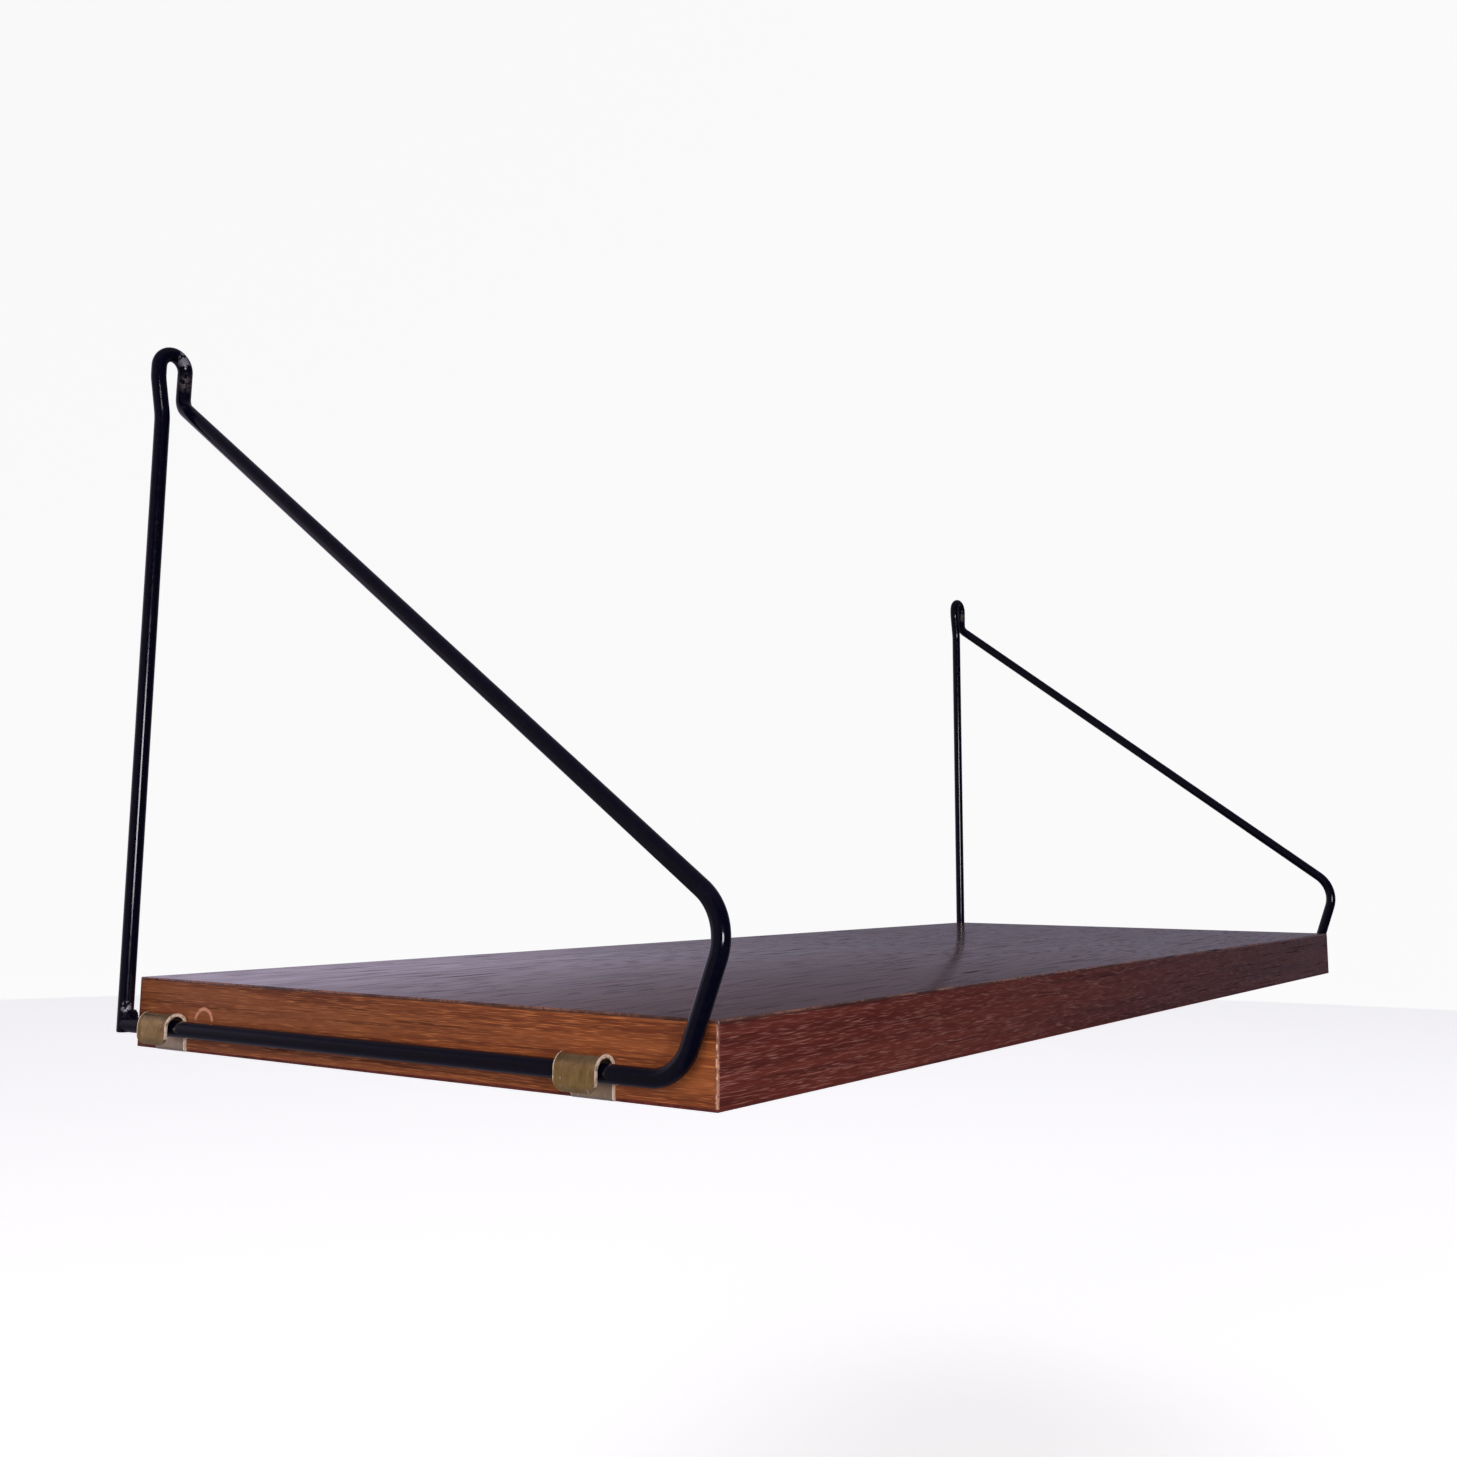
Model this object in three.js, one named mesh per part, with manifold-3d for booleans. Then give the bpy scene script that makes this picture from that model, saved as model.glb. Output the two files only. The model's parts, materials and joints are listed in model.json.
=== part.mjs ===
// Wall shelf: a veneered board carried at both ends by bent-wire brackets that swivel in sheet-brass clips.
// Units are millimetres. +X runs along the board, +Y points into the wall and +Z is up.
// The origin is on the wall plane, midway between the brackets, where the wall pins bear in the bracket eyes.
import * as THREE from "three";
import { mergeVertices } from "three/addons/utils/BufferGeometryUtils.js";
import Module from "manifold-3d";

const wasm = await Module();
wasm.setup();

// ---- Driving dimensions -----------------------------------------------------------------------------------------

// Board
const BOARD_LENGTH = 600;
const BOARD_DEPTH = 224;
const BOARD_THICKNESS = 21.6;
const BOARD_TOP_Z = -204; // below the point where the wall pins bear
const WALL_GAP = 4; // from the board's back edge to the wall
const VENEER = 0.8;
const GLUE_LINE = 0.05;

// Bracket wire
const WIRE_RADIUS = 2.5;
const WIRE_SIDES = 16;
const WIRE_OFFSET = 3.8; // from the board's end to the wire's centreline
const RAIL_HEIGHT = 7.15; // bottom rail's centreline above the board's underside
const LOWER_CORNER_SETBACK = 8.7; // corner of rail and strut, behind the board's front edge
const UPPER_CORNER_REACH = 4.3; // corner of strut and stay, in front of the board's front edge
const UPPER_CORNER_HEIGHT = 46.6; // above the board's underside
const UPPER_CORNER_SHIFT = 2.5; // sideways, on the way from the rail's plane to the eye's
const KNEE_HEIGHT = 211.1; // corner of stay and eye, above the board's underside
const KNEE_SHIFT = 7.75; // sideways from the upright to the eye's free leg
const LOWER_BEND = 12;
const UPPER_BEND = 15;
const KNEE_BEND = 6;
const EYE_RADIUS = 5.2; // centreline of the eye's round top
const EYE_BULGE = 2.4; // how far the upright swings out into the eye
const EYE_WAIST_DROP = 9; // from the wire's top to where the upright starts to lean back
const EYE_FOOT_DROP = 22; // from the wire's top to where the upright is straight again
const EYE_WAIST_BEND = 14;
const EYE_FOOT_BEND = 24;
const WELD_RADIUS = 2.3;
const BEND_STEP = Math.PI / 18;

// Clip, a strip of sheet brass: flange under the board, web up the board's end, arch over the rail, outer flap
const SHEET = 1;
const CLIP_WIDTH = 13.6;
const CLIP_SETBACKS = { front: 37.9, rear: 206.2 }; // clip's middle behind the board's front edge
const FLANGE_LENGTH = 21;
const FLANGE_BEND = 0.6; // middle of the sheet
const ARCH_RADIUS = 3.6; // middle of the sheet
const ARCH_CENTRE_HEIGHT = 7.8;
const LIP_CENTRE_HEIGHT = 4.6;
const LIP_ANGLE = (35 * Math.PI) / 180; // how far the lip curls in under the rail
const FLAP_CORNER = 3;
const CLIP_FIT = 0.05; // clip to board
const RECESS_FIT = 0.15;

// Countersunk wood screws, two in each flange
const SCREW_INSETS = { outer: 6, inner: 15 }; // from the board's end
const SCREW_LENGTH = 13;
const SCREW_HEAD_RADIUS = 2.9;
const SCREW_SHANK_RADIUS = 1.45;
const SCREW_ROOT_RADIUS = 1.05;
const SCREW_HEAD_HEIGHT = 1.6;
const SCREW_SHANK_LENGTH = 2.4;
const SCREW_TIP_LENGTH = 2;
const SCREW_THREADS = 6;
const SCREW_SIDES = 16;
const SCREW_SUNK = 0.1; // head below the flange's face
const SCREW_FIT = 0.06;
const DRIVE_SLOT = { width: 0.8, depth: 0.7 };

// ---- Places worked out from them --------------------------------------------------------------------------------

const BOARD_END_X = BOARD_LENGTH / 2;
const BOARD_BACK_Y = -WALL_GAP;
const BOARD_FRONT_Y = BOARD_BACK_Y - BOARD_DEPTH;
const BOARD_BOTTOM_Z = BOARD_TOP_Z - BOARD_THICKNESS;
const SKIN = VENEER + GLUE_LINE; // from the board's outside to its core
const RAIL_Z = BOARD_BOTTOM_Z + RAIL_HEIGHT;
const UPRIGHT_Y = -WIRE_RADIUS;
const RECESS_DEPTH = SHEET + CLIP_FIT;
const WEB_X = CLIP_FIT + SHEET / 2; // middle of the sheet, out from the board's end
const ARCH_X = WEB_X + ARCH_RADIUS;
const OVERSHOOT = 1; // how far a cutting tool runs past the face it cuts

// ---- Materials --------------------------------------------------------------------------------------------------

const teak = (colour) => new THREE.MeshStandardMaterial({ color: colour, roughness: 0.45, metalness: 0 });
const faceTeak = teak(0x5a2f1e);
const edgeTeak = teak(0x7a4426);
const chipboard = new THREE.MeshStandardMaterial({ color: 0xb08a5a, roughness: 0.9, metalness: 0 });
const blackLacquer = new THREE.MeshStandardMaterial({ color: 0x0b0b10, roughness: 0.3, metalness: 0.2 });
const brass = new THREE.MeshStandardMaterial({ color: 0x8c7646, roughness: 0.4, metalness: 1 });
const steel = new THREE.MeshStandardMaterial({ color: 0x9a9890, roughness: 0.4, metalness: 1 });

// ---- Solid helpers ----------------------------------------------------------------------------------------------

function solidOf(geometry) {
  const bare = geometry.clone();
  bare.deleteAttribute("normal");
  bare.deleteAttribute("uv");
  const merged = mergeVertices(bare, 1e-4);
  return new wasm.Manifold(
    new wasm.Mesh({
      numProp: 3,
      vertProperties: merged.attributes.position.array,
      triVerts: new Uint32Array(merged.index.array),
    }),
  );
}

function geometryOf(solid) {
  const mesh = solid.getMesh();
  return new THREE.BufferGeometry()
    .setAttribute("position", new THREE.BufferAttribute(mesh.vertProperties, 3))
    .setIndex(new THREE.BufferAttribute(mesh.triVerts, 1));
}

// A box from its lowest to its highest corner.
function boxBetween(low, high) {
  const size = high.map((v, i) => v - low[i]);
  const middle = high.map((v, i) => (v + low[i]) / 2);
  return new THREE.BoxGeometry(...size).translate(...middle);
}

// A solid of revolution about Z from [radius, z] points that run from bottom to top and close on the axis.
function turned(profile, sides) {
  const points = profile.map(([radius, z]) => new THREE.Vector2(radius, z));
  return new THREE.LatheGeometry(points, sides).rotateX(Math.PI / 2);
}

function node(name, geometry, material) {
  const mesh = new THREE.Mesh(geometry, material);
  mesh.name = name;
  return mesh;
}

// ---- Bent wire --------------------------------------------------------------------------------------------------

// A round bend that touches the lines corner-before and corner-after.
class Bend extends THREE.Curve {
  constructor(before, corner, after, radius) {
    super();
    this.inward = corner.clone().sub(before).normalize();
    const outward = after.clone().sub(corner).normalize();
    this.angle = this.inward.angleTo(outward);
    const tangent = radius * Math.tan(this.angle / 2);
    this.start = corner.clone().addScaledVector(this.inward, -tangent);
    this.end = corner.clone().addScaledVector(outward, tangent);
    const side = outward.clone().addScaledVector(this.inward, -outward.dot(this.inward)).normalize();
    this.centre = this.start.clone().addScaledVector(side, radius);
    this.spoke = side.multiplyScalar(-radius);
    this.radius = radius;
  }
  getPoint(t, target = new THREE.Vector3()) {
    const a = this.angle * t;
    return target
      .copy(this.centre)
      .addScaledVector(this.spoke, Math.cos(a))
      .addScaledVector(this.inward, this.radius * Math.sin(a));
  }
  getTangent(t, target = new THREE.Vector3()) {
    const a = this.angle * t;
    return target
      .copy(this.spoke)
      .multiplyScalar(-Math.sin(a) / this.radius)
      .addScaledVector(this.inward, Math.cos(a))
      .normalize();
  }
}

// Straight lines and round bends through a list of { at, radius } corners. Its stations are spaced by the bends,
// one step for a straight and one for each BEND_STEP of a bend, so a long straight costs no triangles.
class WirePath extends THREE.Curve {
  constructor(corners) {
    super();
    this.pieces = [];
    let from = corners[0].at;
    for (let i = 1; i < corners.length - 1; i++) {
      const bend = new Bend(corners[i - 1].at, corners[i].at, corners[i + 1].at, corners[i].radius);
      this.addStraight(from, bend.start);
      this.addPiece(bend, Math.ceil(bend.angle / BEND_STEP));
      from = bend.end;
    }
    this.addStraight(from, corners.at(-1).at);
    this.steps = this.pieces.reduce((sum, piece) => sum + piece.steps, 0);
  }
  addPiece(curve, steps) {
    this.pieces.push({ curve, steps });
  }
  // Two bends that touch have no straight between them.
  addStraight(from, to) {
    if (from.distanceTo(to) > 1e-6) this.addPiece(new THREE.LineCurve3(from, to), 1);
  }
  locate(u) {
    let left = u * this.steps;
    for (const piece of this.pieces) {
      if (left <= piece.steps + 1e-9) return [piece.curve, Math.min(1, left / piece.steps)];
      left -= piece.steps;
    }
    return [this.pieces.at(-1).curve, 1];
  }
  getPoint(u, target) {
    const [curve, t] = this.locate(u);
    return curve.getPoint(t, target);
  }
  getPointAt(u, target) {
    return this.getPoint(u, target);
  }
  getTangentAt(u, target) {
    const [curve, t] = this.locate(u);
    return curve.getTangent(t, target);
  }
}

function wireTube(path) {
  const section = new THREE.Shape();
  section.absarc(0, 0, WIRE_RADIUS, 0, 2 * Math.PI);
  return new THREE.ExtrudeGeometry(section, {
    steps: path.steps,
    curveSegments: WIRE_SIDES,
    extrudePath: path,
  });
}

// ---- Bracket ----------------------------------------------------------------------------------------------------

// One closed loop of wire, with its rail along x = 0: rail, strut, stay, eye and upright, welded at the back.
function bracketGeometry() {
  const eyeTopZ = WIRE_RADIUS; // the pin bears on the inside of the eye, at z = 0
  const strutTopZ = BOARD_BOTTOM_Z + UPPER_CORNER_HEIGHT;
  const kneeZ = BOARD_BOTTOM_Z + KNEE_HEIGHT;
  const freeLegX = 2 * EYE_RADIUS - EYE_BULGE;
  const corner = (x, y, z, radius) => ({ at: new THREE.Vector3(x, y, z), radius });
  const path = new WirePath([
    corner(0, UPRIGHT_Y, RAIL_Z),
    corner(0, BOARD_FRONT_Y + LOWER_CORNER_SETBACK, RAIL_Z, LOWER_BEND),
    corner(UPPER_CORNER_SHIFT, BOARD_FRONT_Y - UPPER_CORNER_REACH, strutTopZ, UPPER_BEND),
    corner(KNEE_SHIFT, UPRIGHT_Y, kneeZ, KNEE_BEND),
    corner(freeLegX, UPRIGHT_Y, eyeTopZ, EYE_RADIUS),
    corner(-EYE_BULGE, UPRIGHT_Y, eyeTopZ, EYE_RADIUS),
    corner(-EYE_BULGE, UPRIGHT_Y, eyeTopZ - EYE_WAIST_DROP, EYE_WAIST_BEND),
    corner(0, UPRIGHT_Y, eyeTopZ - EYE_FOOT_DROP, EYE_FOOT_BEND),
    corner(0, UPRIGHT_Y, RAIL_Z - WIRE_RADIUS),
  ]);
  const weld = new THREE.SphereGeometry(WELD_RADIUS, 10, 8).translate(
    0,
    UPRIGHT_Y - WIRE_RADIUS,
    RAIL_Z + WIRE_RADIUS,
  );
  return geometryOf(solidOf(wireTube(path)).add(solidOf(weld)));
}

// ---- Clip and screw ---------------------------------------------------------------------------------------------

// The clip's side view in [distance out from the board's end, height above the underside]. The strip runs from the
// flange's tip out to the web, up, over the arch and down the flap to the lip; its two faces are SHEET apart.
function clipProfile() {
  const half = SHEET / 2;
  const flangeZ = half;
  const lipEnd = Math.PI * 2 - LIP_ANGLE;
  const shape = new THREE.Shape();
  const outer = ARCH_RADIUS + half;
  const inner = ARCH_RADIUS - half;
  const bendX = WEB_X - FLANGE_BEND;
  const bendZ = flangeZ + FLANGE_BEND;
  shape.moveTo(-FLANGE_LENGTH, 0);
  shape.absarc(bendX, bendZ, FLANGE_BEND + half, -Math.PI / 2, 0, false);
  shape.absarc(ARCH_X, ARCH_CENTRE_HEIGHT, inner, Math.PI, 0, true);
  shape.absarc(ARCH_X, LIP_CENTRE_HEIGHT, inner, 0, lipEnd, true);
  shape.absarc(ARCH_X, LIP_CENTRE_HEIGHT, outer, lipEnd, 2 * Math.PI, false);
  shape.absarc(ARCH_X, ARCH_CENTRE_HEIGHT, outer, 0, Math.PI, false);
  shape.absarc(bendX, bendZ, FLANGE_BEND - half, 0, -Math.PI / 2, true);
  shape.lineTo(-FLANGE_LENGTH, SHEET);
  return shape;
}

// The countersink that a screw head needs, wider than the head by SCREW_FIT; it opens downwards at z = 0.
function countersink() {
  const tall = SCREW_SUNK + SCREW_HEAD_HEIGHT;
  const rim = SCREW_HEAD_RADIUS + SCREW_FIT;
  return turned(
    [
      [0, -OVERSHOOT],
      [rim, -OVERSHOOT],
      [rim, SCREW_SUNK],
      [SCREW_SHANK_RADIUS + SCREW_FIT, tall],
      [0, tall],
    ],
    SCREW_SIDES,
  );
}

// The whole hole for a screw: countersink, then a pilot as wide as the thread.
function screwHole() {
  const pilot = SCREW_SHANK_RADIUS + SCREW_FIT;
  const end = SCREW_LENGTH + SCREW_SUNK + SCREW_FIT;
  const bore = turned(
    [
      [0, 0],
      [pilot, 0],
      [pilot, end],
      [0, end],
    ],
    SCREW_SIDES,
  );
  return solidOf(countersink()).add(solidOf(bore));
}

// Head down at z = 0, point up, with a straight drive slot across the head.
function screwGeometry() {
  const threadStart = SCREW_SUNK + SCREW_HEAD_HEIGHT + SCREW_SHANK_LENGTH;
  const tip = SCREW_SUNK + SCREW_LENGTH;
  const pitch = (tip - SCREW_TIP_LENGTH - threadStart) / SCREW_THREADS;
  const profile = [
    [0, SCREW_SUNK],
    [SCREW_HEAD_RADIUS, SCREW_SUNK],
    [SCREW_SHANK_RADIUS, SCREW_SUNK + SCREW_HEAD_HEIGHT],
    [SCREW_SHANK_RADIUS, threadStart],
  ];
  for (let i = 0; i < SCREW_THREADS; i++) {
    profile.push([SCREW_ROOT_RADIUS, threadStart + (i + 0.3) * pitch]);
    profile.push([SCREW_SHANK_RADIUS, threadStart + (i + 0.9) * pitch]);
  }
  profile.push([0, tip]);
  const slot = boxBetween(
    [-SCREW_HEAD_RADIUS - OVERSHOOT, -DRIVE_SLOT.width / 2, -OVERSHOOT],
    [SCREW_HEAD_RADIUS + OVERSHOOT, DRIVE_SLOT.width / 2, SCREW_SUNK + DRIVE_SLOT.depth],
  );
  return geometryOf(solidOf(turned(profile, SCREW_SIDES)).subtract(solidOf(slot)));
}

// Everything the strip may fill, seen from outside the board's end: the flap's lower corners are rounded off.
function flapOutline() {
  const half = CLIP_WIDTH / 2;
  const top = ARCH_CENTRE_HEIGHT + ARCH_RADIUS + SHEET;
  const bottom = LIP_CENTRE_HEIGHT - (ARCH_RADIUS + SHEET / 2) * Math.sin(LIP_ANGLE);
  const shape = new THREE.Shape();
  shape.moveTo(half, top);
  shape.lineTo(-half, top);
  shape.absarc(-half + FLAP_CORNER, bottom + FLAP_CORNER, FLAP_CORNER, Math.PI, 1.5 * Math.PI, false);
  shape.absarc(half - FLAP_CORNER, bottom + FLAP_CORNER, FLAP_CORNER, 1.5 * Math.PI, 2 * Math.PI, false);
  const flap = new THREE.ExtrudeGeometry(shape, { depth: ARCH_X, curveSegments: 6, bevelEnabled: false })
    .rotateX(Math.PI / 2)
    .rotateZ(Math.PI / 2)
    .translate(ARCH_X, 0, 0);
  const rest = boxBetween([-FLANGE_LENGTH - OVERSHOOT, -half, -OVERSHOOT], [ARCH_X, half, top]);
  return solidOf(flap).add(solidOf(rest));
}

// The clip stands in the frame of one board end: x out of the end, y across the clip, z up from the underside.
function clipGeometry() {
  const strip = new THREE.ExtrudeGeometry(clipProfile(), {
    depth: CLIP_WIDTH,
    curveSegments: 10,
    bevelEnabled: false,
  })
    .rotateX(Math.PI / 2)
    .translate(0, CLIP_WIDTH / 2, 0);
  let solid = solidOf(strip).intersect(flapOutline());
  for (const inset of Object.values(SCREW_INSETS)) {
    solid = solid.subtract(solidOf(countersink()).translate([-inset, 0, 0]));
  }
  return geometryOf(solid);
}

// ---- Board ------------------------------------------------------------------------------------------------------

// Everything that is let into the board for the clips, as one cutting solid in the part's frame.
function clipCutters() {
  const cutters = [];
  for (const side of [-1, 1]) {
    for (const setback of Object.values(CLIP_SETBACKS)) {
      const y = BOARD_FRONT_Y + setback;
      const ends = [
        side * (BOARD_END_X + OVERSHOOT),
        side * (BOARD_END_X - FLANGE_LENGTH - RECESS_FIT),
      ];
      const half = CLIP_WIDTH / 2 + RECESS_FIT;
      cutters.push(
        solidOf(
          boxBetween(
            [Math.min(...ends), y - half, BOARD_BOTTOM_Z - OVERSHOOT],
            [Math.max(...ends), y + half, BOARD_BOTTOM_Z + RECESS_DEPTH],
          ),
        ),
      );
      for (const inset of Object.values(SCREW_INSETS)) {
        cutters.push(screwHole().translate([side * (BOARD_END_X - inset), y, BOARD_BOTTOM_Z]));
      }
    }
  }
  return cutters.reduce((all, cutter) => all.add(cutter));
}

function board() {
  const cutters = clipCutters();
  const cut = (geometry) => geometryOf(solidOf(geometry).subtract(cutters));
  const [x, front, back] = [BOARD_END_X, BOARD_FRONT_Y, BOARD_BACK_Y];
  const [bottom, top] = [BOARD_BOTTOM_Z, BOARD_TOP_Z];
  const group = new THREE.Group();
  const add = (name, geometry, material) => group.add(node(name, geometry, material));

  add("top_veneer", boxBetween([-x, front, top - VENEER], [x, back, top]), faceTeak);
  add("bottom_veneer", cut(boxBetween([-x, front, bottom], [x, back, bottom + VENEER])), faceTeak);

  const low = bottom + SKIN;
  const high = top - SKIN;
  add("front_edge_band", boxBetween([-x, front, low], [x, front + VENEER, high]), edgeTeak);
  add("back_edge_band", boxBetween([-x, back - VENEER, low], [x, back, high]), edgeTeak);

  const [inFront, inBack] = [front + SKIN, back - SKIN];
  const leftBand = boxBetween([-x, inFront, low], [-x + VENEER, inBack, high]);
  const rightBand = boxBetween([x - VENEER, inFront, low], [x, inBack, high]);
  add("left_end_band", cut(leftBand), edgeTeak);
  add("right_end_band", cut(rightBand), edgeTeak);

  add("board_core", cut(boxBetween([-x + SKIN, inFront, low], [x - SKIN, inBack, high])), chipboard);
  return group;
}

// ---- Assembly ---------------------------------------------------------------------------------------------------

// The clips and screws of one end, facing out along -X on the left and +X on the right.
function clipsAt(endName, direction) {
  const end = new THREE.Group();
  end.position.set(direction * BOARD_END_X, 0, BOARD_BOTTOM_Z);
  for (const [place, setback] of Object.entries(CLIP_SETBACKS)) {
    const clipName = `${endName}_${place}_clip`;
    const seat = new THREE.Group();
    seat.position.y = BOARD_FRONT_Y + setback;
    seat.rotation.z = direction > 0 ? 0 : Math.PI;
    seat.add(node(clipName, clipGeometry(), brass));
    for (const [row, inset] of Object.entries(SCREW_INSETS)) {
      const screw = node(`${clipName}_${row}_screw`, screwGeometry(), steel);
      screw.position.x = -inset;
      seat.add(screw);
    }
    end.add(seat);
  }
  return end;
}

function bracketAt(name, direction) {
  const bracket = node(name, bracketGeometry(), blackLacquer);
  bracket.position.x = direction * (BOARD_END_X + WIRE_OFFSET);
  return bracket;
}

const shelf = new THREE.Group();
shelf.add(board());
shelf.add(clipsAt("left", -1), clipsAt("right", 1));
shelf.add(bracketAt("left_bracket_wire", -1), bracketAt("right_bracket_wire", 1));

export default shelf;
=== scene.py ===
"""The looks of the wall shelf.

It is a teak-veneered board, two brackets of bent and lacquered wire, and four brass clips with their screws.
The frame has +X along the board, +Y into the wall and +Z up. Its origin is on the wall between the brackets'
eyes. Sizes are in metres, and MM turns millimetres into them.
"""

import json
import math

import bmesh
import bpy
from mathutils import Matrix, Vector, noise


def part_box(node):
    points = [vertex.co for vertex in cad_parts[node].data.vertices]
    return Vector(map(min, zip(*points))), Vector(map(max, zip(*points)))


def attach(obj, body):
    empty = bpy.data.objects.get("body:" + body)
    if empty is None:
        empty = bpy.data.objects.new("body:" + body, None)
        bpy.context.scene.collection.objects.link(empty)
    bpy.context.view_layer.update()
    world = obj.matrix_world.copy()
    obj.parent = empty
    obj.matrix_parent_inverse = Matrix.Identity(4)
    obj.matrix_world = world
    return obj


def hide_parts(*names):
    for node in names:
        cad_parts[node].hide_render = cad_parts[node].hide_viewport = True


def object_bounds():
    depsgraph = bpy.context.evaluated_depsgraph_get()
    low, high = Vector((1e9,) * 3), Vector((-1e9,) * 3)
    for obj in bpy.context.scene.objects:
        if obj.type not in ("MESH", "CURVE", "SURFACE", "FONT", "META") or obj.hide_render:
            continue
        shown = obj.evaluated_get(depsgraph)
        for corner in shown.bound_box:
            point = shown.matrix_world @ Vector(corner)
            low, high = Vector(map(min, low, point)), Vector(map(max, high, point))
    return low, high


MM = 0.001

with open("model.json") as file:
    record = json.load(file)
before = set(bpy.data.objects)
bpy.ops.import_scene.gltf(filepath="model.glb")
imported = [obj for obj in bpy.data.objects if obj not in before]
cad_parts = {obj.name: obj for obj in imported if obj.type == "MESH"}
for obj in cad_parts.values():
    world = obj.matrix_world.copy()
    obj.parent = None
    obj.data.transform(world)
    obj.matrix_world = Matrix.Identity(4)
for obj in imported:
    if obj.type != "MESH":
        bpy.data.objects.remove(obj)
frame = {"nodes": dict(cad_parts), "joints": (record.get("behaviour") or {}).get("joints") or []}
CAD_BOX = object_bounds()

# ---- Places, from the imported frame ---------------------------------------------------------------

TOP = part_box("top_veneer")
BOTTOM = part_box("bottom_veneer")
BOARD_LEFT, BOARD_FRONT, BOARD_BOTTOM = BOTTOM[0]
BOARD_RIGHT, BOARD_BACK, BOARD_TOP = TOP[1]
JOINTS = {joint["child"]: joint for joint in frame["joints"]}
RAIL_Z = JOINTS["left_bracket"]["pos_m"][2]
LEFT_RAIL_X = JOINTS["left_bracket"]["pos_m"][0]
RIGHT_RAIL_X = JOINTS["right_bracket"]["pos_m"][0]

EASED_EDGE = 0.35 * MM

# ---- The wire, as the CAD bends it ---------------------------------------------------------------

WIRE_RADIUS = 2.5 * MM
WIRE_SIDES = 40
UPRIGHT_Y = -WIRE_RADIUS
EYE_TOP_Z = WIRE_RADIUS
LOWER_CORNER_Y = BOARD_FRONT + 8.7 * MM
UPPER_CORNER_Y = BOARD_FRONT - 4.3 * MM
UPPER_CORNER_Z = BOARD_BOTTOM + 46.6 * MM
UPPER_CORNER_SHIFT = 2.5 * MM
KNEE_Z = BOARD_BOTTOM + 211.1 * MM
KNEE_SHIFT = 7.75 * MM
EYE_RADIUS = 5.2 * MM
EYE_BULGE = 2.4 * MM
EYE_LEG_SHIFT = 2 * EYE_RADIUS - EYE_BULGE
EYE_WAIST_Z = EYE_TOP_Z - 9 * MM
EYE_FOOT_Z = EYE_TOP_Z - 22 * MM
LOWER_BEND = 12 * MM
UPPER_BEND = 15 * MM
KNEE_BEND = 6 * MM
WAIST_BEND = 14 * MM
FOOT_BEND = 24 * MM
WELD_RADIUS = 2.2 * MM

# ---- The clip, as the CAD bends it ---------------------------------------------------------------
# x is out of the board's end and z is up from its underside.

SHEET = 1 * MM
CLIP_FIT = 0.05 * MM
FLANGE_LENGTH = 21 * MM
FLANGE_BEND = 0.6 * MM
ARCH_RADIUS = 3.6 * MM
ARCH_Z = 7.8 * MM
LIP_Z = 4.6 * MM
LIP_ANGLE = math.radians(35)
FLAP_CORNER = 3 * MM
CLIP_FLARE = 0.12 * MM
FLARE_START = 0.8
CLIP_DENT = 0.04 * MM
CLIP_COLUMNS = 16
CLIP_EDGE = 0.14 * MM
RECESS_FIT = 0.15 * MM
CLIP_NAMES = [f"{side}_{place}_clip" for side in ("left", "right") for place in ("front", "rear")]
SCREW_INSETS = {"outer": 6 * MM, "inner": 15 * MM}
SCREW_HEAD_RADIUS = 2.9 * MM
SCREW_HEAD_HEIGHT = 1.6 * MM
SCREW_SHANK_RADIUS = 1.45 * MM
SCREW_SHANK_LENGTH = 2.4 * MM
SCREW_LENGTH = 13 * MM
SCREW_SUNK = 0.1 * MM
SCREW_HOLE_FIT = 0.08 * MM
SCREW_RIM = 0.12 * MM
SCREW_FACE = 0.6 * SCREW_HEAD_RADIUS
SCREW_POINT = 0.05 * MM
SCREW_SIDES = 48
THREAD_ROOT_RADIUS = 1.05 * MM
THREAD_TURNS = 7
THREAD_TIP = 2 * MM
THREAD_ROOT_AT = 0.35 * MM
THREAD_CREST_AT = 0.95 * MM
SLOT_WIDTH = 0.8 * MM
SLOT_DEPTH = 0.7 * MM
SLOT_TURN = {"front": 3.2, "rear": 2.7}
SLOT_TURN_STEP = 1.9

# ---- Node trees ----------------------------------------------------------------------------------


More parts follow.
